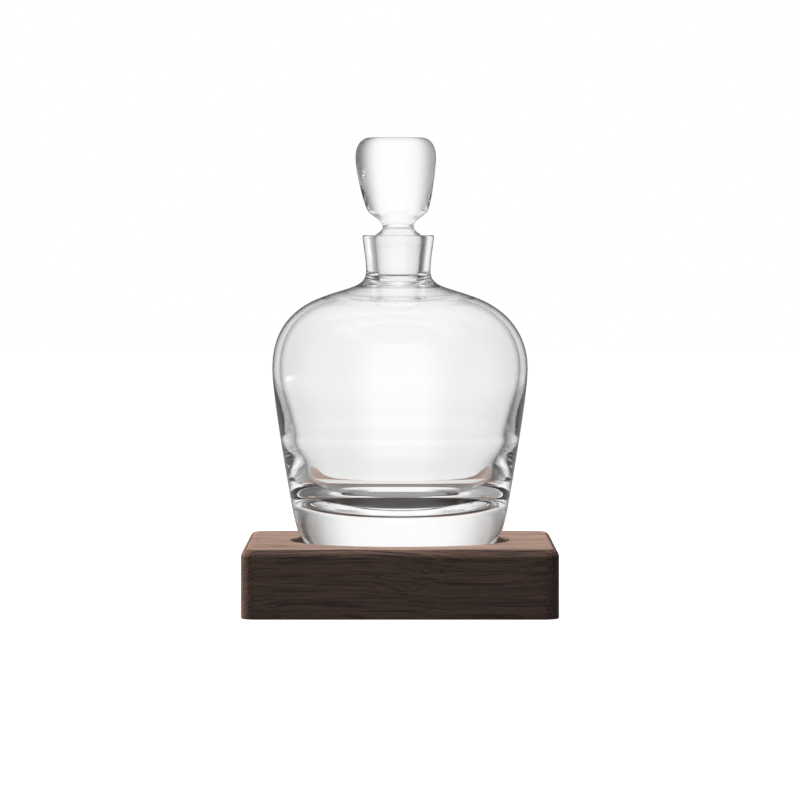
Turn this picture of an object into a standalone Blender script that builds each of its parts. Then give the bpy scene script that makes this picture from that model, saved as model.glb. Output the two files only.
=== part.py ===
"""Whisky decanter: a thick hand-blown glass vessel with a solid glass stopper, standing in a walnut block.

Lengths are in metres and +Z is up. The origin is the centre of the block's underside, on the table, and the
front of the object faces -Y. Each turned outline is a chain of stretches between named stations, and a
station is a (radius, height) pair.
"""

import math
from dataclasses import dataclass

import bmesh
import bpy
from mathutils import Vector

# Vessel outside: heights run up from the glass foot, each as a rise above the station below it.
FOOT_RADIUS = 0.046
HEEL_RADIUS = 0.0565
HEEL_RISE = 0.025
BODY_RADIUS = 0.0664
BODY_RISE = 0.0705
SHOULDER_INSET = 0.0265
SHOULDER_RISE = 0.037
NECK_RISE = 0.014
RIM_RISE = 0.0182
RIM_ROUND = 0.0008

# Vessel inside
BASE_THICKNESS = 0.0213
BEND_WALL = 0.0091
LOWER_WALL = 0.0066
BELLY_WALL = 0.0037
SHOULDER_WALL = 0.003
NECK_WALL = 0.0055
RIM_WALL = 0.0056
BORE_END_DROP = 0.0088
BORE_END_ROUND = 0.0012

# Shallow hollow that the glassmaker polishes under the foot
PUNT_RADIUS = 0.024
PUNT_DEPTH = 0.0012

# Stopper: heights run up from the plane of the rim.
PLUG_TOP_RADIUS = 0.0127
PLUG_TIP_RADIUS = 0.0103
PLUG_LENGTH = 0.0246
PLUG_TIP_ROUND = 0.0012
PLUG_SHOULDER = 0.0005
WAIST_RADIUS = 0.00805
WAIST_RISE = 0.0048
CHIN_RADIUS = 0.0152
CHIN_RISE = 0.0073
HEAD_RADIUS = 0.0209
HEAD_RISE = 0.0283
CROWN_RADIUS = 0.014
CROWN_RISE = 0.0102

# Blown glass isn't quite true: the neck and the stopper's head sit a little to the left of the body.
NECK_DRIFT = 0.0009
HEAD_DRIFT = 0.0013

# Walnut block
BLOCK_BORDER = 0.02265
BLOCK_FLOOR = 0.0289
BLOCK_CORNER_RADIUS = 0.0085
BLOCK_TOP_ROUND = 0.004
BLOCK_FOOT_ROUND = 0.0008
RECESS_DEPTH = 0.0065
RECESS_MARGIN = 0.0013
RECESS_FLOOR_MARGIN = 0.0015
RECESS_LIP_ROUND = 0.0018

# Clearances
FOOT_GAP = 0.0003
PLUG_FIT = 0.0003
CUT_OVERRUN = 0.002
MERGE_DISTANCE = 0.000001

# How far each stretch's two handles reach, as shares of its run in radius and in height
HEEL_SHARES = ((0.5, 0.05), (0.16, 0.4))
SIDE_SHARES = ((0.35, 0.28), (0.0, 0.17))
SHOULDER_SHARES = ((0.0, 0.6), (0.46, 0.12))
THROAT_SHARES = ((0.65, 0.41), (0.0, 0.64))
FLARE_SHARES = ((0.0, 0.3), (0.3, 0.3))
BOWL_SHARES = ((0.68, 0.0), (0.08, 0.73))
LOWER_WALL_SHARES = ((0.41, 0.42), (0.23, 0.45))
LOWER_SIDE_SHARES = ((0.45, 0.35), (0.0, 0.3))
CEILING_SHARES = ((0.5, 0.45), (0.4, 0.0))
PLUG_SHOULDER_SHARES = ((0.71, 0.5), (0.0, 0.47))
CHIN_SHARES = ((0.0, 0.38), (0.36, 0.36))
HEAD_SHARES = ((0.42, 0.11), (0.0, 0.21))
CROWN_SHARES = ((0.0, 0.73), (0.41, 0.0))
RECESS_SHARES = ((0.6, 0.0), (0.1, 0.5))
PUNT_SHARES = ((0.4, 0.6), (0.5, 0.0))
BEND_WALL_SHARE = 0.21
LOWER_WALL_SHARE = 0.46
QUARTER_ROUND_SHARE = 0.5523
ROUND_PROFILE_SHARE = 0.5
UPRIGHT_START_SHARES = ((0.0, QUARTER_ROUND_SHARE), (QUARTER_ROUND_SHARE, 0.0))
LEVEL_START_SHARES = ((QUARTER_ROUND_SHARE, 0.0), (0.0, QUARTER_ROUND_SHARE))

# Facets: how far a curve may turn in one of them, and how many there are round each turned solid
FACET_TURN = math.radians(10)
LEAST_FACETS = 2
SHARP_TURN = math.radians(50)
VESSEL_SIDES = 48
STOPPER_SIDES = 40
RECESS_SIDES = 48
CORNER_SEGMENTS = 5
EDGE_SEGMENTS = 3


@dataclass(frozen=True)
class Stretch:
    """A smooth stretch of a turned outline: a cubic curve from one station to the next.

    The first of its shares places the handle at the start, and the second the handle at the end.
    """

    start: Vector
    end: Vector
    shares: tuple

    def handles(self):
        """The start, its handle, the end's handle and the end."""
        run = self.end - self.start
        leave, arrive = self.shares
        first = self.start + Vector((run.x * leave[0], run.y * leave[1]))
        second = self.end - Vector((run.x * arrive[0], run.y * arrive[1]))
        return self.start, first, second, self.end

    def point(self, share):
        """The station this share of the way along the curve."""
        rest = 1 - share
        weights = (rest**3, 3 * rest**2 * share, 3 * rest * share**2, share**3)
        return sum((h * w for h, w in zip(self.handles(), weights)), Vector((0.0, 0.0)))

    def inside(self, share, wall):
        """The station a wall's thickness inside the curve, on a stretch whose outside is on its right."""
        before, after = self.tangent_ends(share)
        along = (after - before).normalized()
        return self.point(share) + wall * Vector((-along.y, along.x))

    def tangent_ends(self, share):
        """Two points whose difference gives the curve's direction at this share."""
        start, first, second, end = self.handles()
        low = start.lerp(first, share).lerp(first.lerp(second, share), share)
        high = first.lerp(second, share).lerp(second.lerp(end, share), share)
        return low, high

    def turn(self):
        """How far the curve turns on its way along its handles."""
        stops = self.handles()
        legs = [after - before for before, after in zip(stops, stops[1:]) if after != before]
        return sum(leg.angle(next_leg) for leg, next_leg in zip(legs, legs[1:]))

    def points(self):
        """Stations along the curve, from just after its start to its end."""
        count = max(LEAST_FACETS, math.ceil(self.turn() / FACET_TURN))
        return [self.point(step / count) for step in range(1, count + 1)]


def station(radius, height):
    """A (radius, height) pair on a turned outline."""
    return Vector((radius, height))


def plug_radius(depth):
    """The plug's radius this far below the rim. Its taper runs on, because the bore is a little longer."""
    return PLUG_TOP_RADIUS + (PLUG_TIP_RADIUS - PLUG_TOP_RADIUS) * depth / PLUG_LENGTH


def bore_radius(depth):
    """The neck bore's radius this far below the rim."""
    return plug_radius(depth) + PLUG_FIT


HEEL_HEIGHT = HEEL_RISE
BODY_HEIGHT = HEEL_HEIGHT + BODY_RISE
SHOULDER_HEIGHT = BODY_HEIGHT + SHOULDER_RISE
NECK_HEIGHT = SHOULDER_HEIGHT + NECK_RISE
RIM_HEIGHT = NECK_HEIGHT + RIM_RISE
BORE_END_HEIGHT = NECK_HEIGHT - BORE_END_DROP
NECK_RADIUS = bore_radius(RIM_RISE) + NECK_WALL
RIM_RADIUS = bore_radius(0) + RIM_WALL
RECESS_RADIUS = HEEL_RADIUS + RECESS_MARGIN
RECESS_FLOOR_RADIUS = FOOT_RADIUS + RECESS_FLOOR_MARGIN
BLOCK_SIDE = 2 * (RECESS_RADIUS + BLOCK_BORDER)
BLOCK_HEIGHT = BLOCK_FLOOR + RECESS_DEPTH
FOOT_LEVEL = BLOCK_FLOOR + FOOT_GAP


def vessel_outline():
    """The vessel's outline from the cavity's floor, over the rim and down the outside to the foot."""
    foot = station(FOOT_RADIUS, 0)
    heel = station(HEEL_RADIUS, HEEL_HEIGHT)
    body = station(BODY_RADIUS, BODY_HEIGHT)
    shoulder = station(BODY_RADIUS - SHOULDER_INSET, SHOULDER_HEIGHT)
    neck = station(NECK_RADIUS, NECK_HEIGHT)
    rim = station(RIM_RADIUS, RIM_HEIGHT - RIM_ROUND)
    heel_curve = Stretch(foot, heel, HEEL_SHARES)
    side_curve = Stretch(heel, body, SIDE_SHARES)
    shoulder_curve = Stretch(body, shoulder, SHOULDER_SHARES)
    throat_curve = Stretch(shoulder, neck, THROAT_SHARES)
    flare_curve = Stretch(neck, rim, FLARE_SHARES)
    rim_top = station(RIM_RADIUS - RIM_ROUND, RIM_HEIGHT)
    outside = [foot]
    for curve in (
        heel_curve,
        side_curve,
        shoulder_curve,
        throat_curve,
        flare_curve,
        Stretch(rim, rim_top, UPRIGHT_START_SHARES),
    ):
        outside += curve.points()

    floor = station(0, BASE_THICKNESS)
    bend = side_curve.inside(BEND_WALL_SHARE, BEND_WALL)
    lower = side_curve.inside(LOWER_WALL_SHARE, LOWER_WALL)
    belly = station(BODY_RADIUS - BELLY_WALL, BODY_HEIGHT)
    ceiling = throat_curve.inside(0, SHOULDER_WALL)
    bore_end = station(bore_radius(RIM_HEIGHT - BORE_END_HEIGHT), BORE_END_HEIGHT)
    bore_lead = bore_end + station(BORE_END_ROUND, 0)
    bore_start = bore_end + station(0, BORE_END_ROUND)
    mouth_foot = station(bore_radius(0), RIM_HEIGHT - RIM_ROUND)
    mouth = station(bore_radius(0) + RIM_ROUND, RIM_HEIGHT)
    inside = [floor]
    for curve in (
        Stretch(floor, bend, BOWL_SHARES),
        Stretch(bend, lower, LOWER_WALL_SHARES),
        Stretch(lower, belly, LOWER_SIDE_SHARES),
        Stretch(belly, ceiling, SHOULDER_SHARES),
        Stretch(ceiling, bore_lead, CEILING_SHARES),
        Stretch(bore_lead, bore_start, LEVEL_START_SHARES),
    ):
        inside += curve.points()
    inside += [mouth_foot] + Stretch(mouth_foot, mouth, UPRIGHT_START_SHARES).points()

    punt_edge = station(PUNT_RADIUS, 0)
    punt = Stretch(punt_edge, station(0, PUNT_DEPTH), PUNT_SHARES)
    return inside + outside[::-1] + [punt_edge] + punt.points()


def stopper_outline():
    """The stopper's outline from the middle of its tip, up the outside to the middle of its crown."""
    tip = -PLUG_LENGTH
    waist_height = WAIST_RISE
    chin_height = waist_height + CHIN_RISE
    head_height = chin_height + HEAD_RISE
    crown_height = head_height + CROWN_RISE
    waist = station(WAIST_RADIUS, waist_height)
    chin = station(CHIN_RADIUS, chin_height)
    head = station(HEAD_RADIUS, head_height)
    crown = station(CROWN_RADIUS, crown_height)
    tip_edge = station(PLUG_TIP_RADIUS - PLUG_TIP_ROUND, tip)
    plug_foot = station(plug_radius(PLUG_LENGTH - PLUG_TIP_ROUND), tip + PLUG_TIP_ROUND)
    plug_top = station(plug_radius(PLUG_SHOULDER), -PLUG_SHOULDER)
    outline = [station(0, tip), tip_edge]
    outline += Stretch(tip_edge, plug_foot, LEVEL_START_SHARES).points() + [plug_top]
    for curve in (
        Stretch(plug_top, waist, PLUG_SHOULDER_SHARES),
        Stretch(waist, chin, CHIN_SHARES),
        Stretch(chin, head, HEAD_SHARES),
        Stretch(head, crown, CROWN_SHARES),
    ):
        outline += curve.points()
    return outline + [station(0, crown_height)]


def recess_outline():
    """The outline of the dished recess, from the middle of its floor to above the block's top face."""
    floor_edge = station(RECESS_FLOOR_RADIUS, 0)
    lip_foot = station(RECESS_RADIUS - RECESS_LIP_ROUND, RECESS_DEPTH - RECESS_LIP_ROUND)
    lip = station(RECESS_RADIUS, RECESS_DEPTH)
    outline = [station(0, 0), floor_edge]
    outline += Stretch(floor_edge, lip_foot, RECESS_SHARES).points()
    outline += Stretch(lip_foot, lip, UPRIGHT_START_SHARES).points()
    above = RECESS_DEPTH + CUT_OVERRUN
    return outline + [station(RECESS_RADIUS, above), station(0, above)]


def smooth_step(share):
    """A share from 0 to 1 that leaves and arrives gently."""
    held = min(max(share, 0), 1)
    return held * held * (3 - 2 * held)


def vessel_drift(height):
    """How far left of the body's axis the vessel's axis has wandered at this height."""
    return -NECK_DRIFT * smooth_step((height - BODY_HEIGHT) / (BORE_END_HEIGHT - BODY_HEIGHT))


def stopper_drift(height):
    """How far left of the plug's axis the stopper's axis has wandered at this height."""
    return -HEAD_DRIFT * smooth_step(height / (WAIST_RISE + CHIN_RISE + HEAD_RISE))


def turned(name, outline, sides, drift=None):
    """A solid turned from an outline whose two ends lie on the axis."""
    mesh_edit = bmesh.new()
    ring = [mesh_edit.verts.new((point.x, 0, point.y)) for point in outline]
    edges = [mesh_edit.edges.new(pair) for pair in zip(ring, ring[1:])]
    bmesh.ops.spin(
        mesh_edit,
        geom=ring + edges,
        axis=(0, 0, 1),
        cent=(0, 0, 0),
        angle=math.tau,
        steps=sides,
        use_merge=True,
    )
    bmesh.ops.remove_doubles(mesh_edit, verts=mesh_edit.verts, dist=MERGE_DISTANCE)
    bmesh.ops.recalc_face_normals(mesh_edit, faces=mesh_edit.faces)
    if drift:
        for vertex in mesh_edit.verts:
            vertex.co.x += drift(vertex.co.z)
    return finished(name, mesh_edit)


def finished(name, mesh_edit):
    """An object made of the edited mesh, shaded smooth but for its sharp edges."""
    mesh = bpy.data.meshes.new(name)
    mesh_edit.to_mesh(mesh)
    mesh_edit.free()
    mesh.shade_smooth()
    mesh.set_sharp_from_angle(angle=SHARP_TURN)
    made = bpy.data.objects.new(name, mesh)
    bpy.context.collection.objects.link(made)
    return made


def upright_edges(mesh_edit):
    """The edges that run straight up."""
    return [e for e in mesh_edit.edges if abs(e.verts[0].co.z - e.verts[1].co.z) > MERGE_DISTANCE]


def level_edges(mesh_edit, height):
    """The edges at this height."""
    return [
        e for e in mesh_edit.edges if all(abs(v.co.z - height) < MERGE_DISTANCE for v in e.verts)
    ]


def ease(mesh_edit, edges, radius, segments):
    """Rounds these edges off."""
    bmesh.ops.bevel(
        mesh_edit,
        geom=edges,
        offset=radius,
        offset_type="OFFSET",
        segments=segments,
        profile=ROUND_PROFILE_SHARE,
        affect="EDGES",
    )


def rounded_block(name):
    """The square block with round corners, its top and bottom edges eased, before the recess is cut."""
    mesh_edit = bmesh.new()
    bmesh.ops.create_cube(mesh_edit, size=1)
    for vertex in mesh_edit.verts:
        vertex.co.x *= BLOCK_SIDE
        vertex.co.y *= BLOCK_SIDE
        vertex.co.z = BLOCK_HEIGHT if vertex.co.z > 0 else 0
    ease(mesh_edit, upright_edges(mesh_edit), BLOCK_CORNER_RADIUS, CORNER_SEGMENTS)
    ease(mesh_edit, level_edges(mesh_edit, BLOCK_HEIGHT), BLOCK_TOP_ROUND, EDGE_SEGMENTS)
    ease(mesh_edit, level_edges(mesh_edit, 0), BLOCK_FOOT_ROUND, EDGE_SEGMENTS)
    return finished(name, mesh_edit)


def cut(target, cutter):
    """Cuts the cutter's shape out of the target and hides the cutter."""
    modifier = target.modifiers.new(cutter.name, "BOOLEAN")
    modifier.operation = "DIFFERENCE"
    modifier.object = cutter
    cutter.hide_render = True
    cutter.display_type = "WIRE"


def principled(name, colour, roughness, transmission=0.0, ior=1.45):
    """A plain material with this base colour and surface."""
    material = bpy.data.materials.new(name)
    material.use_nodes = True
    material.diffuse_color = (*colour, 1)
    surface = material.node_tree.nodes["Principled BSDF"]
    surface.inputs["Base Color"].default_value = (*colour, 1)
    surface.inputs["Roughness"].default_value = roughness
    surface.inputs["Metallic"].default_value = 0.0
    surface.inputs["Transmission Weight"].default_value = transmission
    surface.inputs["IOR"].default_value = ior
    return material


def build_base():
    """The walnut block with its dished recess."""
    base = rounded_block("walnut_base")
    recess = turned("recess_cutter", recess_outline(), RECESS_SIDES)
    recess.location.z = BLOCK_FLOOR
    cut(base, recess)
    base.data.materials.append(principled("walnut", (0.055, 0.033, 0.022), 0.45))
    return base


def build_vessel():
    """The glass vessel, its origin in the middle of its foot, on the axis it lifts along."""
    vessel = turned("glass_vessel", vessel_outline(), VESSEL_SIDES, vessel_drift)
    vessel.location.z = FOOT_LEVEL
    vessel.data.materials.append(principled("vessel_glass", (0.96, 0.97, 0.97), 0.02, 1.0, 1.5))
    return vessel


def build_stopper(vessel):
    """The glass stopper, its origin in the middle of the rim's plane, on the axis it lifts along."""
    stopper = turned("glass_stopper", stopper_outline(), STOPPER_SIDES, stopper_drift)
    stopper.location = (-NECK_DRIFT, 0, RIM_HEIGHT)
    stopper.parent = vessel
    stopper.data.materials.append(principled("stopper_glass", (0.96, 0.97, 0.97), 0.02, 1.0, 1.5))
    return stopper


def main():
    """Clears the scene and builds the object."""
    for old in list(bpy.data.objects):
        bpy.data.objects.remove(old)
    build_base()
    build_stopper(build_vessel())


if __name__ == "__main__":
    main()
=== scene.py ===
"""Looks of a whisky decanter: a heavy hand-blown glass vessel and its solid glass stopper in a walnut block.

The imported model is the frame. Each piece here stands for one of its nodes. Lengths are in metres, +Z is up
and the front of the decanter faces -Y. A turned piece is made from its outline, which is a chain of curved
stretches between stations, and a station is a (radius, height) pair.
"""

import logging
import math
from dataclasses import dataclass
from enum import Enum
from typing import Any, Callable, Mapping, Sequence, Union

import bpy
import numpy as np
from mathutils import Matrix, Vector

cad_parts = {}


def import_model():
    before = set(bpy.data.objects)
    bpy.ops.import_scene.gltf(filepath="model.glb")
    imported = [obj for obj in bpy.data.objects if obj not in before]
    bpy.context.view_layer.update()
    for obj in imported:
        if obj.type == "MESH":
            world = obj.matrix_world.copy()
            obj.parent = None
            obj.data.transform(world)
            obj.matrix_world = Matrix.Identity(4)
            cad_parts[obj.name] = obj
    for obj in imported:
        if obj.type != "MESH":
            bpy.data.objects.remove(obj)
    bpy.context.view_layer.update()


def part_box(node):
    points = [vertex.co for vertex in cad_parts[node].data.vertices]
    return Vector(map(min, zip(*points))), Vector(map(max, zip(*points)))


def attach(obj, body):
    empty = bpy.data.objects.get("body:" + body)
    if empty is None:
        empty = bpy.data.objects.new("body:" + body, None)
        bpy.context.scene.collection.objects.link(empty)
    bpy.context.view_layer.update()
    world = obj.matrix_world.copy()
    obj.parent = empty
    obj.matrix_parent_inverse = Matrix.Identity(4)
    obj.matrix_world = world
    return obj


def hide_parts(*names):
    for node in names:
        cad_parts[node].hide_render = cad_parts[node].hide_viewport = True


MILLIMETRES = 1000
log = logging.getLogger("decanter")

Station = tuple[float, float]
Span = tuple[float, float]
Shares = tuple[Span, Span]
Point = tuple[float, float, float]
Colour = tuple[float, float, float]
Drift = Callable[[float], float]

WHITE: Colour = (1.0, 1.0, 1.0)
CIRCLE_SHARE = 0.5523
QUARTER_ROUND: Shares = ((0.0, CIRCLE_SHARE), (CIRCLE_SHARE, 0.0))
LYING_ROUND: Shares = ((CIRCLE_SHARE, 0.0), (0.0, CIRCLE_SHARE))
NOISE_MIDDLE = 0.5
MATT_STEP: Span = (0.4, 0.6)
SHEET_SIDES = 96
LAMP_TARGET: Point = (0.0, 0.0, 0.05)
GLASS_BOUNCES = 24
GLOSS_BOUNCES = 16


class Body(str, Enum):
    """The bodies of the frame that the pieces ride on."""

    BASE = "base"
    VESSEL = "vessel"
    STOPPER = "stopper"


class Slot(str, Enum):
    """The material slots of the record."""

    WALNUT = "walnut"
    VESSEL_GLASS = "vessel_glass"
    STOPPER_GLASS = "stopper_glass"


class Ray(str, Enum):
    """What a surface of the studio can know of the ray that reaches it."""

    CAMERA = "Is Camera Ray"
    GLOSSY = "Is Glossy Ray"
    TRANSMISSION = "Is Transmission Ray"
    MATT_TURNS = "Diffuse Depth"


# Shader expressions


@dataclass(frozen=True)
class Wire:
    """The output of a shader node, which Python expressions can be made of."""

    graph: "Graph"
    socket: bpy.types.NodeSocket | None

    def maths(self, operation: str, first: "Term", second: "Term" = 0.0) -> "Wire":
        """Adds a Math node.

        Args:
            operation: The node's operation.
            first: Its first value.
            second: Its second value, where the operation has one.

        Returns:
            The node's output.
        """
        return self.graph.add("ShaderNodeMath", {"operation": operation}, {0: first, 1: second})

    def __add__(self, other: "Term") -> "Wire":
        """The sum."""
        return self.maths("ADD", self, other)

    def __sub__(self, other: "Term") -> "Wire":
        """The difference."""
        return self.maths("SUBTRACT", self, other)

    def __rsub__(self, other: "Term") -> "Wire":
        """The difference, this being taken from the other."""
        return self.maths("SUBTRACT", other, self)

    def __mul__(self, other: "Term") -> "Wire":
        """The product."""
        return self.maths("MULTIPLY", self, other)

    __radd__ = __add__
    __rmul__ = __mul__

    def root(self) -> "Wire":
        """The square root."""
        return self.maths("SQRT", self)

    def most(self, other: "Term") -> "Wire":
        """The larger of the two."""
        return self.maths("MAXIMUM", self, other)

    def ramp(self, low: float, high: float, start: float = 0.0, end: float = 1.0) -> "Wire":
        """A smooth step between two levels.

        Args:
            low: The value at which the step starts.
            high: The value at which it ends.
            start: The level before the step.
            end: The level after it.

        Returns:
            The level.
        """
        settings = {"interpolation_type": "SMOOTHSTEP"}
        inputs = {"Value": self, "From Min": low, "From Max": high, "To Min": start, "To Max": end}
        return self.graph.add("ShaderNodeMapRange", settings, inputs, "Result")


Term = Union[Wire, float, Sequence[float]]


@dataclass(frozen=True)
class Grain:
    """A soft noise: its waves in a metre along each axis, its finer layers and their strength."""

    waves: Point
    detail: float = 2.0
    roughness: float = 0.5


class Graph:
    """The nodes of one material or world."""

    def __init__(self, tree: bpy.types.NodeTree) -> None:
        """Starts with no nodes."""
        self.tree = tree
        tree.nodes.clear()

    def add(
        self,
        kind: str,
        settings: Mapping[str, Any] | None = None,
        inputs: Mapping[Union[int, str], Term] | None = None,
        output: Union[int, str] = 0,
    ) -> Wire:
        """Adds one node.

        Args:
            kind: The node's type.
            settings: Its properties, which are set first.
            inputs: The values or links of its sockets.
            output: The output that is wanted.

        Returns:
            That output.
        """
        node = self.tree.nodes.new(kind)
        for name, value in (settings or {}).items():
            setattr(node, name, value)
        for name, value in (inputs or {}).items():
            if isinstance(value, Wire):
                self.tree.links.new(value.socket, node.inputs[name])
            else:
                node.inputs[name].default_value = value
        return Wire(self, node.outputs[output] if node.outputs else None)

    def mix(self, share: Term, first: Union[Wire, Colour], second: Union[Wire, Colour]) -> Wire:
        """Mixes two colours.

        Args:
            share: The share of the second colour.
            first: The first colour.
            second: The second colour.

        Returns:
            The mixed colour.
        """
        pair = [c if isinstance(c, Wire) else (*c, 1.0) for c in (first, second)]
        settings = {"data_type": "RGBA", "clamp_factor": True}
        return self.add("ShaderNodeMix", settings, {0: share, 6: pair[0], 7: pair[1]}, 2)

    def place(self) -> Wire:
        """The place on the piece, in metres."""
        return self.add("ShaderNodeTexCoord", output="Object")

    def parts(self, vector: Wire) -> tuple[Wire, Wire, Wire]:
        """The three coordinates of a vector."""
        split = self.add("ShaderNodeSeparateXYZ", inputs={0: vector}).socket.node
        return tuple(Wire(self, socket) for socket in split.outputs)

    def distance(self, first: Wire, second: Wire) -> Wire:
        """The distance that two lengths at right angles make."""
        return (first * first + second * second).root()

    def noise(self, place: Wire, grain: Grain) -> Wire:
        """Soft noise.

        Args:
            place: The place that it is read at.
            grain: Its waves and layers.

        Returns:
            The noise, about a half.
        """
        settings = {"operation": "MULTIPLY"}
        vector = self.add("ShaderNodeVectorMath", settings, {0: place, 1: grain.waves})
        inputs = {"Vector": vector, "Scale": 1.0, "Detail": grain.detail, "Roughness": grain.roughness}
        return self.add("ShaderNodeTexNoise", {}, inputs)

    def emission(self, colour: Colour, level: Term = 1.0) -> Wire:
        """A surface that shines by itself."""
        return self.add("ShaderNodeEmission", {}, {"Color": (*colour, 1.0), "Strength": level})

    def blend(self, share: Wire, first: Wire, second: Wire) -> Wire:
        """Two surfaces mixed by the share of the second."""
        return self.add("ShaderNodeMixShader", {}, {0: share, 1: first, 2: second})

    def close(self, surface: Wire, kind: str = "ShaderNodeOutputMaterial") -> None:
        """Ends the graph with the surface that it shows."""
        self.add(kind, {}, {"Surface": surface})

    def ray(self, fact: Ray) -> Wire:
        """What the ray is or has met: one or zero for a kind of ray, or a count."""
        return self.add("ShaderNodeLightPath", output=fact.value)

    def looks_through(self) -> Wire:
        """One where the viewer looks through glass, and zero where light reaches a matt surface."""
        matt = self.ray(Ray.MATT_TURNS).ramp(*MATT_STEP)
        return self.ray(Ray.TRANSMISSION) * (1.0 - matt)


def new_material(name: str) -> tuple[bpy.types.Material, Graph]:
    """A new material with an empty graph.

    Args:
        name: The material's name.

    Returns:
        The material and its graph.
    """
    material = bpy.data.materials.new(name)
    material.use_nodes = True
    return material, Graph(material.node_tree)


# Finishes


@dataclass(frozen=True)
class WalnutFinish:
    """Oiled walnut: fibres along X, dark pore lines, painted light on the eased edges and top, painted shade
    in the recess.
    """

    streak: Colour = (0.012, 0.008, 0.007)
    side: Colour = (0.043, 0.029, 0.024)
    ruddy: Colour = (0.076, 0.045, 0.032)
    # Painted light: edge and top are lighter, lit copies of the side colour, for the eased edges and the top
    # face.
    edge: Colour = (0.168, 0.110, 0.087)
    top: Colour = (0.425, 0.278, 0.220)
    ring_spacing: float = 0.0046
    heart_depth: float = 0.150
    heart_back: float = 0.020
    sway: Grain = Grain((8.0, 18.0, 18.0))
    bands: Grain = Grain((9.0, 190.0, 190.0))
    lines: Grain = Grain((15.0, 900.0, 900.0), 3.0, 0.6)
    pores: Grain = Grain((48.0, 1500.0, 1500.0), 2.0, 0.6)
    fibres: Grain = Grain((150.0, 2800.0, 2800.0))
    sway_reach: float = 0.018
    band_weight: float = 1.3
    ring_weight: float = 0.05
    fibre_weight: float = 0.9
    line_weight: float = 1.6
    mean_light: float = 0.5
    line_span: Span = (0.50, 0.36)
    line_darkness: float = 0.75
    pore_span: Span = (0.56, 0.68)
    pore_darkness: float = 0.6
    top_rise: Span = (0.93, 0.985)
    eased_rise: Span = (0.04, 0.17)
    side_light: Span = (0.1, 1.0)
    edge_light: Span = (0.0, 1.0)
    top_light: Span = (0.0, 0.85)
    top_streak_loss: float = 0.50
    # Painted shade: within this reach the recess floor takes the side colour in place of the lit top.
    painted_recess_shade_reach: Span = (0.0588, 0.052)
    fibre_relief: float = 0.5
    streak_relief: float = 0.8
    relief_strength: float = 0.25
    relief_height: float = 0.0002
    roughness: float = 0.46
    streak_roughness: float = 0.2
    fibre_roughness: float = 0.1
    gloss: float = 0.22
    refraction: float = 1.45

    def figure(self, graph: Graph) -> tuple[Wire, Wire, Wire]:
        """Draws the wood's figure.

        Args:
            graph: The material's graph.

        Returns:
            How light the wood is, how much dark streak there is, and its fine fibres.
        """
        straight = graph.place()
        sway = graph.noise(straight, self.sway) - NOISE_MIDDLE
        bends = {1: sway * self.sway_reach, 2: sway * self.sway_reach}
        bend = graph.add("ShaderNodeCombineXYZ", {}, bends)
        place = graph.add("ShaderNodeVectorMath", {"operation": "ADD"}, {0: straight, 1: bend})
        _, across, up = graph.parts(place)
        reach = graph.distance(across - self.heart_back, up + self.heart_depth)
        turns = reach * (math.tau / self.ring_spacing)
        rings = graph.add("ShaderNodeMath", {"operation": "SINE"}, {0: turns})
        bands = graph.noise(place, self.bands) - NOISE_MIDDLE
        lines = graph.noise(place, self.lines)
        pores = graph.noise(place, self.pores)
        fibres = graph.noise(place, self.fibres) - NOISE_MIDDLE
        light = bands * self.band_weight + rings * self.ring_weight + fibres * self.fibre_weight
        light = light + (lines - NOISE_MIDDLE) * self.line_weight + self.mean_light
        dark = lines.ramp(*self.line_span) * self.line_darkness
        return light, dark.most(pores.ramp(*self.pore_span) * self.pore_darkness), fibres

    def material(self, name: str) -> bpy.types.Material:
        """Makes the finish.

        Args:
            name: The material's name.

        Returns:
            The material.
        """
        material, graph = new_material(name)
        light, dark, fibres = self.figure(graph)
        _, _, rise = graph.parts(graph.add("ShaderNodeTexCoord", output="Normal"))
        # Painted light: the top face takes the lit top colour, and the eased edges the lighter edge colour.
        top = rise.ramp(*self.top_rise)
        eased = rise.ramp(*self.eased_rise)
        side = graph.mix(light.ramp(*self.side_light), self.side, self.ruddy)
        edge = graph.mix(light.ramp(*self.edge_light), self.side, self.edge)
        painted_light_top = graph.mix(light.ramp(*self.top_light), self.edge, self.top)
        # Painted shade: inside the recess the top-facing wood takes the dark side colour, as if in the
        # vessel's shadow.
        aside, back, _ = graph.parts(graph.place())
        recess = graph.distance(aside, back).ramp(*self.painted_recess_shade_reach)
        face = graph.mix(recess, painted_light_top, side)
        wood = graph.mix(top, graph.mix(eased, side, edge), face)
        wood = graph.mix(dark * (1.0 - top * self.top_streak_loss), wood, self.streak)
        relief = fibres * self.fibre_relief - dark * self.streak_relief
        inputs = {"Height": relief, "Strength": self.relief_strength, "Distance": self.relief_height}
        bump = graph.add("ShaderNodeBump", {}, inputs, "Normal")
        uneven = dark * self.streak_roughness + fibres * self.fibre_roughness
        surface = graph.add(
            "ShaderNodeBsdfPrincipled",
            {},
            {
                "Base Color": wood,
                "Roughness": uneven + self.roughness,
                "Normal": bump,
                "IOR": self.refraction,
                "Specular IOR Level": self.gloss,
            },
        )
        graph.close(surface)
        return material


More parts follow.
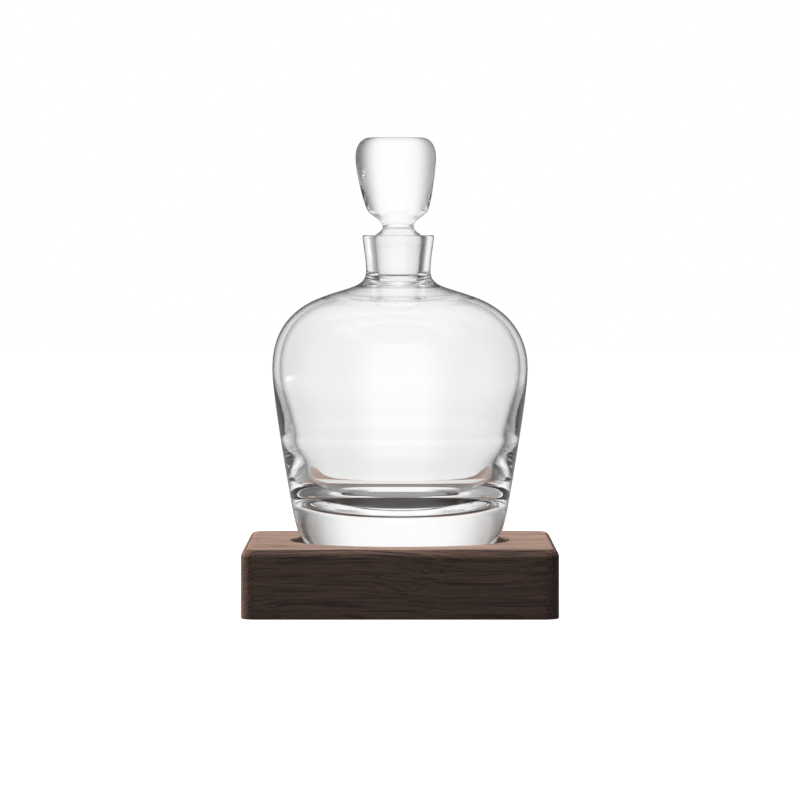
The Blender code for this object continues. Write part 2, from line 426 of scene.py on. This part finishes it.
@dataclass(frozen=True)
class GlassFinish:
    """Clear glass with a smooth polish, whose colour darkens as painted shade where its outer face turns
    away from the view.
    """

    clear: Colour = (0.965, 0.966, 0.966)
    # Painted shade: the colour that the glass takes at its outline.
    edge: Colour = (0.03, 0.03, 0.03)
    turning: Span = (0.68, 0.91)
    roughness: float = 0.0
    refraction: float = 1.5

    def material(self, name: str) -> bpy.types.Material:
        """Makes the finish.

        Args:
            name: The material's name.

        Returns:
            The material.
        """
        material, graph = new_material(name)
        # Painted shade: the base colour darkens as the outer face turns away, in place of the dark room seen
        # at the glass's edges.
        facing = graph.add("ShaderNodeLayerWeight", output="Facing")
        inside = graph.add("ShaderNodeNewGeometry", output="Backfacing")
        edge = facing.ramp(*self.turning) * (1.0 - inside)
        colour = graph.mix(edge, self.clear, self.edge)
        surface = graph.add(
            "ShaderNodeBsdfPrincipled",
            {},
            {
                "Base Color": colour,
                "Roughness": self.roughness,
                "IOR": self.refraction,
                "Transmission Weight": 1.0,
            },
        )
        graph.close(surface)
        return material


# Outlines and meshes


@dataclass(frozen=True)
class Stretch:
    """A curved stretch of an outline; its shares place a handle at each end, in parts of its run."""

    start: Station
    end: Station
    shares: Shares

    def handles(self) -> np.ndarray:
        """The start, its handle, the end's handle and the end."""
        start, end = np.array(self.start), np.array(self.end)
        leave, arrive = np.array(self.shares)
        return np.array([start, start + (end - start) * leave, end - (end - start) * arrive, end])

    @staticmethod
    def weights(share: np.ndarray) -> np.ndarray:
        """How much the curve has of each of the four points at a share, or at each row of shares."""
        rest = 1 - share
        return np.concatenate([rest**3, 3 * rest**2 * share, 3 * rest * share**2, share**3], -1)

    def points(self, count: int) -> np.ndarray:
        """The stations along the curve.

        Args:
            count: How many stations are wanted.

        Returns:
            One row for each station, from just after the start to the end.
        """
        return self.weights(np.arange(1, count + 1)[:, None] / count) @ self.handles()

    def inside(self, share: float, wall: float) -> Station:
        """A station on the inner face of a wall whose outer face is this curve.

        Args:
            share: How far along the curve it is.
            wall: The wall's thickness.

        Returns:
            The station.
        """
        handles = self.handles()
        slope = np.array([(1 - share) ** 2, 2 * (1 - share) * share, share**2])
        run = slope @ np.diff(handles, axis=0)
        run = run / np.linalg.norm(run)
        return tuple(self.weights(np.array([share])) @ handles + wall * np.array([-run[1], run[0]]))


def smooth_step(share: float) -> float:
    """A share from 0 to 1 that leaves and arrives gently."""
    held = min(max(share, 0.0), 1.0)
    return held * held * (3 - 2 * held)


def mesh_object(name: str, corners: np.ndarray, faces: list[Sequence[int]]) -> bpy.types.Object:
    """A smooth-shaded object.

    Args:
        name: Its name.
        corners: The corner points, one row each.
        faces: The corners of each face, counter-clockwise from outside.

    Returns:
        The object, linked to the scene.
    """
    mesh = bpy.data.meshes.new(name)
    mesh.from_pydata(corners.tolist(), [], faces)
    mesh.shade_smooth()
    made = bpy.data.objects.new(name, mesh)
    bpy.context.scene.collection.objects.link(made)
    return made


def ring_faces(rings: int, sides: int, first: int) -> list[Sequence[int]]:
    """The faces between rings of corners that follow each other.

    Args:
        rings: How many rings there are.
        sides: How many corners each has.
        first: The first ring's first corner.

    Returns:
        The faces, which look outward where the rings run down the outside.
    """
    ring, side = np.meshgrid(np.arange(rings - 1), np.arange(sides), indexing="ij")
    here = first + ring * sides + side
    beside = first + ring * sides + (side + 1) % sides
    return np.stack([here, here + sides, beside + sides, beside], -1).reshape(-1, 4).tolist()


def closed_rings(
    name: str, rings: np.ndarray, start: Sequence[float], end: Sequence[float]
) -> bpy.types.Object:
    """A closed solid of rings with a point at each end.

    Args:
        name: The object's name.
        rings: The rings, each an array of corner points.
        start: The point before the first ring.
        end: The point after the last ring.

    Returns:
        The object.
    """
    count, sides = rings.shape[:2]
    corners = np.vstack([[start], rings.reshape(-1, 3), [end]])
    last = 1 + (count - 1) * sides
    faces = ring_faces(count, sides, 1)
    for side in range(sides):
        after = (side + 1) % sides
        faces.append((0, 1 + side, 1 + after))
        faces.append((len(corners) - 1, last + after, last + side))
    return mesh_object(name, corners, faces)


def turned(
    name: str, outline: np.ndarray, sides: int, axis: Station, drift: Drift
) -> bpy.types.Object:
    """A solid turned from an outline whose two ends lie on the axis.

    Args:
        name: The object's name.
        outline: The stations, from the upper end of the axis to the lower end.
        sides: How many sides it is turned with.
        axis: Where the axis starts, in X and Z.
        drift: How far the axis has wandered in X at each height.

    Returns:
        The object.
    """
    angle = np.arange(sides) * math.tau / sides
    radius, height = outline[1:-1, :1], outline[1:-1, 1:]
    level = np.ones(sides)
    shift = np.array([[drift(z)] for z in outline[1:-1, 1]])
    rings = np.stack(
        [
            axis[0] + shift + radius * np.cos(angle),
            radius * np.sin(angle),
            axis[1] + height * level,
        ],
        -1,
    )
    ends = [(axis[0] + drift(z), 0.0, axis[1] + z) for z in (outline[0, 1], outline[-1, 1])]
    return closed_rings(name, rings, *ends)


def dress(
    piece: bpy.types.Object, finish: bpy.types.Material, body: Body, node: str, slot: Slot
) -> bpy.types.Object:
    """Gives a piece its finish and its place in the frame, and reports it.

    Args:
        piece: The piece.
        finish: Its material.
        body: The body that it rides on.
        node: The node that it stands for.
        slot: The record's material slot; not used.

    Returns:
        The piece.
    """
    piece.data.materials.append(finish)
    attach(piece, body.value)
    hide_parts(node)
    low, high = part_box(node)
    size = [round((b - a) * MILLIMETRES, 1) for a, b in zip(low, high)]
    log.info("%s stands for %s, %s mm, %d faces", piece.name, node, size, len(piece.data.polygons))
    return piece


# The pieces


@dataclass(frozen=True)
class WalnutBlock:
    """The square walnut block with the dished recess that the vessel's foot stands in."""

    side: float = 0.1609
    height: float = 0.0354
    corner_radius: float = 0.0085
    top_round: float = 0.004
    foot_round: float = 0.0008
    recess_depth: float = 0.0065
    recess_radius: float = 0.0578
    recess_floor_radius: float = 0.0475
    recess_shares: Shares = ((0.6, 0.0), (0.1, 0.5))
    lip_round: float = 0.0018
    floor_radii: tuple[float, ...] = (0.012, 0.024, 0.036, 0.0455)
    top_face_shares: tuple[float, ...] = (0.12, 0.3, 0.55, 0.8, 0.95)
    side_face_shares: tuple[float, ...] = (0.25, 0.5, 0.75)
    underside_share: float = 0.5
    corner_steps: int = 14
    side_steps: int = 60
    recess_steps: int = 14
    lip_steps: int = 8
    top_round_steps: int = 8
    foot_round_steps: int = 5
    finish: WalnutFinish = WalnutFinish()

    def square_ring(self, inset: float, height: float) -> np.ndarray:
        """A level ring round the block.

        Args:
            inset: How far inside the block's sides it runs.
            height: Its height.

        Returns:
            Its corner points.
        """
        middle = self.side / 2 - self.corner_radius
        radius = self.corner_radius - inset
        turn = np.linspace(0, math.pi / 2, self.corner_steps + 1)
        arc = np.stack([middle + radius * np.cos(turn), middle + radius * np.sin(turn)], -1)
        share = (np.arange(1, self.side_steps) / self.side_steps)[:, None]
        straight = arc[-1] * (1 - share) + (arc[-1] * (-1, 1)) * share
        quarter = np.vstack([arc, straight])
        quarters = []
        for _ in range(4):
            quarters.append(quarter)
            quarter = np.stack([-quarter[:, 1], quarter[:, 0]], -1)
        flat = np.vstack(quarters)
        return np.hstack([flat, np.full((len(flat), 1), height)])

    def round_ring(self, radius: float, height: float) -> np.ndarray:
        """A level circle whose corners lie on the same rays as those of a square ring.

        Args:
            radius: The circle's radius.
            height: Its height.

        Returns:
            Its corner points.
        """
        ring = self.square_ring(0.0, height)
        reach = np.linalg.norm(ring[:, :2], axis=1, keepdims=True)
        ring[:, :2] *= radius / reach
        return ring

    def floor_height(self) -> float:
        """The height of the recess's floor."""
        return self.height - self.recess_depth

    def dish(self) -> np.ndarray:
        """The stations of the recess above its floor, from inside out."""
        lip_foot = (self.recess_radius - self.lip_round, self.recess_depth - self.lip_round)
        lip = (self.recess_radius, self.recess_depth)
        floor_edge = (self.recess_floor_radius, 0.0)
        flat = [(radius, 0.0) for radius in self.floor_radii] + [floor_edge]
        wall = Stretch(floor_edge, lip_foot, self.recess_shares).points(self.recess_steps)
        return np.vstack([flat, wall, Stretch(lip_foot, lip, QUARTER_ROUND).points(self.lip_steps)])

    def rings(self) -> np.ndarray:
        """The rings from the recess's floor, over the top face and down the sides to the underside."""
        found = [self.round_ring(radius, self.floor_height() + z) for radius, z in self.dish()]
        edge = self.square_ring(self.top_round, self.height)
        inner = found[-1]
        found += [inner + (edge - inner) * share for share in self.top_face_shares]
        for turn in np.linspace(0.0, math.pi / 2, self.top_round_steps + 1):
            inset = self.top_round * (1 - math.sin(turn))
            found.append(self.square_ring(inset, self.height - self.top_round * (1 - math.cos(turn))))
        run = self.height - self.top_round - self.foot_round
        for share in self.side_face_shares:
            found.append(self.square_ring(0.0, self.foot_round + run * (1 - share)))
        for turn in np.linspace(0.0, math.pi / 2, self.foot_round_steps + 1):
            inset = self.foot_round * (1 - math.cos(turn))
            found.append(self.square_ring(inset, self.foot_round * (1 - math.sin(turn))))
        found.append(found[-1] * (self.underside_share, self.underside_share, 1.0))
        return np.array(found)

    def build(self) -> bpy.types.Object:
        """Builds and dresses the block.

        Returns:
            The block.
        """
        middle = (0.0, 0.0, self.floor_height())
        piece = closed_rings("walnut_block", self.rings(), middle, (0.0, 0.0, 0.0))
        material = self.finish.material("walnut")
        return dress(piece, material, Body.BASE, "walnut_base", Slot.WALNUT)


@dataclass(frozen=True)
class Plug:
    """The stopper's tapered plug and the bore that it fits."""

    top_radius: float = 0.0127
    tip_radius: float = 0.0103
    length: float = 0.0246
    fit: float = 0.0003

    def radius(self, depth: float) -> float:
        """The plug's radius this far below the rim."""
        return self.top_radius + (self.tip_radius - self.top_radius) * depth / self.length

    def bore(self, depth: float) -> float:
        """The bore's radius this far below the rim."""
        return self.radius(depth) + self.fit


@dataclass(frozen=True)
class GlassVessel:
    """The blown vessel: a thick foot, a wide body, round shoulders and a neck with a flared rim."""

    foot_level: float = 0.0292
    foot: Station = (0.046, 0.0)
    heel: Station = (0.0565, 0.025)
    body: Station = (0.0664, 0.0955)
    shoulder: Station = (0.0399, 0.1325)
    neck_height: float = 0.1465
    rim_height: float = 0.1647
    rim_round: float = 0.0008
    heel_shares: Shares = ((0.5, 0.05), (0.16, 0.4))
    side_shares: Shares = ((0.35, 0.28), (0.0, 0.17))
    shoulder_shares: Shares = ((0.0, 0.6), (0.46, 0.12))
    throat_shares: Shares = ((0.65, 0.41), (0.0, 0.64))
    flare_shares: Shares = ((0.0, 0.3), (0.3, 0.3))
    base_thickness: float = 0.0213
    bend_wall: float = 0.0091
    bend_wall_share: float = 0.21
    lower_wall: float = 0.0066
    lower_wall_share: float = 0.46
    belly_wall: float = 0.0037
    shoulder_wall: float = 0.003
    neck_wall: float = 0.0055
    rim_wall: float = 0.0056
    bore_end_drop: float = 0.0088
    bore_end_round: float = 0.0012
    bowl_shares: Shares = ((0.68, 0.0), (0.08, 0.73))
    lower_wall_shares: Shares = ((0.41, 0.42), (0.23, 0.45))
    lower_side_shares: Shares = ((0.45, 0.35), (0.0, 0.3))
    ceiling_shares: Shares = ((0.5, 0.45), (0.4, 0.0))
    punt_radius: float = 0.024
    punt_depth: float = 0.0012
    punt_shares: Shares = ((0.4, 0.6), (0.5, 0.0))
    neck_drift: float = 0.0009
    heel_steps: int = 24
    side_steps: int = 24
    shoulder_steps: int = 28
    throat_steps: int = 28
    flare_steps: int = 12
    bowl_steps: int = 64
    lower_wall_steps: int = 16
    lower_side_steps: int = 24
    inner_shoulder_steps: int = 26
    ceiling_steps: int = 20
    bore_steps: int = 5
    round_steps: int = 6
    foot_steps: int = 4
    punt_steps: int = 14
    sides: int = 256
    plug: Plug = Plug()
    finish: GlassFinish = GlassFinish()

    def bore_end(self) -> float:
        """The height of the bore's lower end."""
        return self.neck_height - self.bore_end_drop

    def neck(self) -> Station:
        """The station of the neck's narrowest place."""
        return (self.plug.bore(self.rim_height - self.neck_height) + self.neck_wall, self.neck_height)

    def drift(self, height: float) -> float:
        """How far the axis has wandered in X at this height above the foot."""
        run = (height - self.body[1]) / (self.bore_end() - self.body[1])
        return -self.neck_drift * smooth_step(run)

    def outside(self) -> list[np.ndarray]:
        """The outline from the foot's edge up to the mouth, with the curves' stations."""
        neck = self.neck()
        rim_radius = self.plug.bore(0.0) + self.rim_wall
        rim = (rim_radius, self.rim_height - self.rim_round)
        lip = (rim_radius - self.rim_round, self.rim_height)
        return [
            np.array([self.foot]),
            Stretch(self.foot, self.heel, self.heel_shares).points(self.heel_steps),
            Stretch(self.heel, self.body, self.side_shares).points(self.side_steps),
            Stretch(self.body, self.shoulder, self.shoulder_shares).points(self.shoulder_steps),
            Stretch(self.shoulder, neck, self.throat_shares).points(self.throat_steps),
            Stretch(neck, rim, self.flare_shares).points(self.flare_steps),
            Stretch(rim, lip, QUARTER_ROUND).points(self.round_steps),
        ]

    def inside(self) -> list[np.ndarray]:
        """The outline from the middle of the cavity's floor up to the mouth."""
        side = Stretch(self.heel, self.body, self.side_shares)
        throat = Stretch(self.shoulder, self.neck(), self.throat_shares)
        floor = (0.0, self.base_thickness)
        bend = side.inside(self.bend_wall_share, self.bend_wall)
        lower = side.inside(self.lower_wall_share, self.lower_wall)
        belly = (self.body[0] - self.belly_wall, self.body[1])
        ceiling = throat.inside(0.0, self.shoulder_wall)
        bore_height = self.bore_end()
        bore_radius = self.plug.bore(self.rim_height - bore_height)
        lead = (bore_radius + self.bore_end_round, bore_height)
        bore_start = (bore_radius, bore_height + self.bore_end_round)
        mouth_in = (self.plug.bore(0.0), self.rim_height - self.rim_round)
        mouth = (self.plug.bore(0.0) + self.rim_round, self.rim_height)
        return [
            np.array([floor]),
            Stretch(floor, bend, self.bowl_shares).points(self.bowl_steps),
            Stretch(bend, lower, self.lower_wall_shares).points(self.lower_wall_steps),
            Stretch(lower, belly, self.lower_side_shares).points(self.lower_side_steps),
            Stretch(belly, ceiling, self.shoulder_shares).points(self.inner_shoulder_steps),
            Stretch(ceiling, lead, self.ceiling_shares).points(self.ceiling_steps),
            Stretch(lead, bore_start, LYING_ROUND).points(self.round_steps),
            np.linspace(bore_start, mouth_in, self.bore_steps + 1)[1:],
            Stretch(mouth_in, mouth, QUARTER_ROUND).points(self.round_steps),
        ]

    def build(self) -> bpy.types.Object:
        """Builds and dresses the vessel.

        Returns:
            The vessel.
        """
        punt_edge = (self.punt_radius, 0.0)
        punt_top = (0.0, self.punt_depth)
        punt = Stretch(punt_edge, punt_top, self.punt_shares).points(self.punt_steps)
        foot_ring = np.linspace(self.foot, punt_edge, self.foot_steps + 1)[1:]
        outer = np.vstack(self.outside())[::-1]
        outline = np.vstack([*self.inside(), outer, foot_ring, punt])
        piece = turned("vessel", outline, self.sides, (0.0, self.foot_level), self.drift)
        material = self.finish.material("vessel_glass")
        piece.visible_shadow = False
        return dress(piece, material, Body.VESSEL, "glass_vessel", Slot.VESSEL_GLASS)


@dataclass(frozen=True)
class GlassStopper:
    """The solid stopper: a tapered plug, a narrow waist and a tall head with a low crown."""

    rim_level: float = 0.1939
    axis_x: float = -0.0009
    tip_round: float = 0.0012
    plug_shoulder: float = 0.0005
    waist: Station = (0.00805, 0.0048)
    chin: Station = (0.0152, 0.0121)
    head: Station = (0.0209, 0.0404)
    crown: Station = (0.014, 0.0506)
    shoulder_shares: Shares = ((0.71, 0.5), (0.0, 0.47))
    chin_shares: Shares = ((0.0, 0.38), (0.36, 0.36))
    head_shares: Shares = ((0.42, 0.11), (0.0, 0.21))
    crown_shares: Shares = ((0.0, 0.73), (0.41, 0.0))
    head_drift: float = 0.0013
    round_steps: int = 6
    plug_steps: int = 7
    shoulder_steps: int = 16
    chin_steps: int = 18
    head_steps: int = 24
    crown_steps: int = 24
    sides: int = 224
    plug: Plug = Plug()
    finish: GlassFinish = GlassFinish(clear=(0.942, 0.942, 0.942))

    def drift(self, height: float) -> float:
        """How far the axis has wandered in X at this height above the rim."""
        return -self.head_drift * smooth_step(height / self.head[1])

    def outline(self) -> np.ndarray:
        """The outline from the middle of the crown down to the middle of the tip."""
        tip = -self.plug.length
        tip_flat = (self.plug.tip_radius - self.tip_round, tip)
        tip_side = (self.plug.radius(self.plug.length - self.tip_round), tip + self.tip_round)
        plug_top = (self.plug.radius(self.plug_shoulder), -self.plug_shoulder)
        rising = [
            np.array([(0.0, tip), (tip_flat[0] / 2, tip), tip_flat]),
            Stretch(tip_flat, tip_side, LYING_ROUND).points(self.round_steps),
            np.linspace(tip_side, plug_top, self.plug_steps + 1)[1:],
            Stretch(plug_top, self.waist, self.shoulder_shares).points(self.shoulder_steps),
            Stretch(self.waist, self.chin, self.chin_shares).points(self.chin_steps),
            Stretch(self.chin, self.head, self.head_shares).points(self.head_steps),
            Stretch(self.head, self.crown, self.crown_shares).points(self.crown_steps),
            np.array([(self.crown[0] / 2, self.crown[1]), (0.0, self.crown[1])]),
        ]
        return np.vstack(rising)[::-1]

    def build(self) -> bpy.types.Object:
        """Builds and dresses the stopper.

        Returns:
            The stopper.
        """
        place = (self.axis_x, self.rim_level)
        piece = turned("stopper", self.outline(), self.sides, place, self.drift)
        material = self.finish.material("stopper_glass")
        piece.visible_shadow = False
        return dress(piece, material, Body.STOPPER, "glass_stopper", Slot.STOPPER_GLASS)


# The studio


@dataclass(frozen=True)
class Lamp:
    """A soft square lamp that points at the object."""

    name: str
    place: Point
    size: float
    power: float
    colour: Colour = WHITE

    def build(self) -> bpy.types.Object:
        """Hangs the lamp.

        Returns:
            The lamp, which glass doesn't show.
        """
        light = bpy.data.lights.new(self.name, "AREA")
        light.shape, light.size, light.energy = "SQUARE", self.size, self.power
        light.color = self.colour
        lamp = bpy.data.objects.new(self.name, light)
        bpy.context.scene.collection.objects.link(lamp)
        lamp.location = self.place
        aim_at(lamp, LAMP_TARGET)
        lamp.visible_transmission = False
        lamp.visible_glossy = False
        return lamp


def aim_at(lamp: bpy.types.Object, target: Point) -> None:
    """Turns a lamp so that it shines at a point.

    Args:
        lamp: The lamp.
        target: The point.
    """
    way = np.array(target) - np.array(lamp.location)
    level = math.hypot(way[0], way[1])
    lamp.rotation_euler = (math.atan2(level, -way[2]), 0.0, math.atan2(-way[0], way[1]))


@dataclass(frozen=True)
class Sheet:
    """A level ring of thin sheet, or the part of it from one of its sides to another."""

    inner: float
    outer: float
    level: float
    first_side: int = 0
    end_side: int = SHEET_SIDES

    def corners(self) -> np.ndarray:
        """The corners of its inner edge, then those of its outer edge."""
        turn = np.arange(SHEET_SIDES) * math.tau / SHEET_SIDES
        round_about = np.stack([np.cos(turn), np.sin(turn)], -1)
        flat = np.vstack([round_about * self.inner, round_about * self.outer])
        return np.column_stack([flat, np.full(len(flat), self.level)])


@dataclass(frozen=True)
class Studio:
    """A white table and background, soft lamps, and sheets of painted sheen and shade shown by the glass at
    its foot.
    """

    floor_side: float = 12.0
    # How bright the table and the room look, near the object and far off, and through glass
    near_glow: float = 0.90
    far_glow: float = 1.0
    near_room_glow: float = 0.95
    room_glow: float = 1.05
    floor_colour: Colour = (0.25, 0.25, 0.25)
    fill: float = 0.03
    near_reach: Span = (0.2, 0.9)
    # How far the room darkens for gloss, and towards its right and left
    gloss_level: float = 0.15
    gloss_reach: Span = (-0.3, 0.6)
    right_level: float = 0.12
    right_reach: Span = (0.29, 0.90)
    left_level: float = 0.38
    left_reach: Span = (-0.90, -0.30)
    # Sheets seen only through the glass in place of the wood, under the foot and behind it: painted sheen
    # and painted shade
    painted_sheen_disc: Sheet = Sheet(0.0, 0.047, 0.0290)
    painted_sheen_arc: Sheet = Sheet(0.0590, 0.0795, 0.0357, first_side=10, end_side=38)
    painted_sheen_facing: Span = (0.62, 0.90)
    painted_sheen_split: Span = (0.058, 0.059)
    painted_sheen_glow: float = 0.87
    # Painted shade: the dark glow under the foot, seen steeply through the glass.
    painted_contact_shade: Colour = (0.014, 0.009, 0.007)
    lamps: tuple[Lamp, ...] = (
        Lamp("top_lamp", (0.0, 0.2, 1.35), size=0.6, power=23.5),
        Lamp("front_lamp", (-0.8, -2.0, 0.5), size=0.6, power=14.5),
        Lamp("left_lamp", (-1.35, 0.6, 0.03), size=0.05, power=88.0, colour=(1.0, 0.86, 0.76)),
        Lamp("back_lamp", (1.2, 1.5, 0.6), size=0.6, power=11.0),
    )

    def sides(self, aside: Wire) -> Wire:
        """How bright the room is in a direction whose part along X is given."""
        right = aside.ramp(*self.right_reach, 1.0, self.right_level)
        return right * aside.ramp(*self.left_reach, self.left_level, 1.0)

    def gloss(self, graph: Graph, away: Wire) -> Wire:
        """How bright gloss outside the glass sees a direction whose part along Y is given."""
        outside = (1.0 - graph.ray(Ray.TRANSMISSION)) * graph.ray(Ray.GLOSSY)
        return outside * away.ramp(*self.gloss_reach, 1.0, self.gloss_level)

    def build_floor(self) -> bpy.types.Object:
        """Lays the white table top, which takes the object's shadow.

        Returns:
            The table top.
        """
        half = self.floor_side / 2
        corners = np.array([(-half, -half, 0.0), (half, -half, 0.0), (half, half, 0.0), (-half, half, 0.0)])
        floor = mesh_object("table", corners, [(0, 1, 2, 3)])
        material, graph = new_material("white_table")
        place = graph.place()
        away = graph.add("ShaderNodeVectorMath", {"operation": "LENGTH"}, {0: place}, "Value")
        facing = graph.add("ShaderNodeVectorMath", {"operation": "NORMALIZE"}, {0: place})
        aside, back, _ = graph.parts(facing)
        seen = graph.ray(Ray.CAMERA).most(self.gloss(graph, back) * self.sides(aside))
        glow = graph.emission(WHITE, seen * away.ramp(*self.near_reach, self.near_glow, self.far_glow))
        paper = graph.add("ShaderNodeBsdfDiffuse", {}, {"Color": (*self.floor_colour, 1.0)})
        outer = graph.add("ShaderNodeAddShader", {}, {0: glow, 1: paper})
        room = away.ramp(*self.near_reach, self.near_room_glow, self.room_glow)
        inner = graph.emission(WHITE, self.sides(aside) * room)
        graph.close(graph.blend(graph.looks_through(), outer, inner))
        floor.data.materials.append(material)
        return floor

    def build_painted_sheen(self) -> bpy.types.Object:
        """Lays sheets of painted sheen and painted shade in place of the wood at the foot, seen only through
        glass.

        Under the foot it glows dark as painted shade where it is seen steeply, and white as painted sheen
        where seen flat.
        Behind the foot it glows white as painted sheen at every angle, which suits the low view of the
        photograph.

        Returns:
            The sheets under the foot and behind it.
        """
        sheets = (self.painted_sheen_disc, self.painted_sheen_arc)
        corners = np.array([sheet.corners() for sheet in sheets])
        faces: list[Sequence[int]] = []
        for index, sheet in enumerate(sheets):
            ring = ring_faces(2, SHEET_SIDES, index * corners.shape[1])
            faces += ring[sheet.first_side : sheet.end_side]
        sheen = mesh_object("painted_foot_sheen", np.vstack(corners), faces)
        material, graph = new_material("painted_shallow_gloss")
        # Painted sheen: a white glow; painted shade: a dark glow.
        glow = graph.emission(WHITE, self.painted_sheen_glow)
        dark = graph.emission(self.painted_contact_shade)
        facing = graph.add("ShaderNodeLayerWeight", output="Facing")
        aside, back, _ = graph.parts(graph.place())
        behind = graph.distance(aside, back).ramp(*self.painted_sheen_split)
        # Painted shade where the disc is seen steeply, painted sheen where it is seen flat and all over the
        # arc behind.
        graph.close(graph.blend(facing.ramp(*self.painted_sheen_facing).most(behind), dark, glow))
        sheen.data.materials.append(material)
        for hidden in ("visible_camera", "visible_diffuse", "visible_glossy", "visible_shadow"):
            setattr(sheen, hidden, False)
        return sheen

    def build_world(self) -> None:
        """Makes the surroundings: white, with darker sides in glass and gloss."""
        world = bpy.data.worlds.new("studio")
        world.use_nodes = True
        bpy.context.scene.world = world
        graph = Graph(world.node_tree)
        aside, away, _ = graph.parts(graph.add("ShaderNodeTexCoord", output="Generated"))
        camera = graph.ray(Ray.CAMERA)
        clear = graph.ray(Ray.TRANSMISSION).most(graph.ray(Ray.GLOSSY))
        room = (graph.looks_through() * self.room_glow).most(self.gloss(graph, away))
        seen = (room + (1.0 - clear) * self.fill) * self.sides(aside)
        level = camera + (1.0 - camera) * seen
        back = graph.add("ShaderNodeBackground", {}, {"Color": level, "Strength": 1.0})
        graph.close(back, "ShaderNodeOutputWorld")

    def build(self) -> None:
        """Builds the floor, the sheets of painted sheen and shade, the world and the lamps."""
        self.build_floor()
        self.build_painted_sheen()
        self.build_world()
        for lamp in self.lamps:
            lamp.build()
        log.info("the studio has %d lamps", len(self.lamps))


@dataclass(frozen=True)
class Viewpoint:
    """The photograph's camera."""

    place: Point = (0.0, -2.45, 0.1895)
    lens: float = 212.0
    sensor: float = 36.0
    tilt: float = 1.90
    view_end: float = 100.0

    def build(self) -> bpy.types.Object:
        """Places the camera and makes it the scene's.

        Returns:
            The camera.
        """
        data = bpy.data.cameras.new("camera")
        data.lens, data.sensor_width, data.clip_end = self.lens, self.sensor, self.view_end
        camera = bpy.data.objects.new("camera", data)
        bpy.context.scene.collection.objects.link(camera)
        camera.location = self.place
        camera.rotation_euler = (math.radians(90.0 - self.tilt), 0.0, 0.0)
        bpy.context.scene.camera = camera
        return camera


def set_up_scene() -> None:
    """Sets plain colours, and enough bounces for light to find its way through thick glass."""
    scene = bpy.context.scene
    scene.view_settings.view_transform = "Standard"
    scene.cycles.max_bounces = GLASS_BOUNCES
    scene.cycles.transmission_bounces = GLASS_BOUNCES
    scene.cycles.glossy_bounces = GLOSS_BOUNCES


def main() -> None:
    """Loads the frame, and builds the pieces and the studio."""
    logging.basicConfig(level=logging.INFO, format="%(name)s: %(message)s")
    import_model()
    set_up_scene()
    WalnutBlock().build()
    GlassVessel().build()
    GlassStopper().build()
    Studio().build()
    Viewpoint().build()
    bpy.context.view_layer.update()


if __name__ == "__main__":
    main()
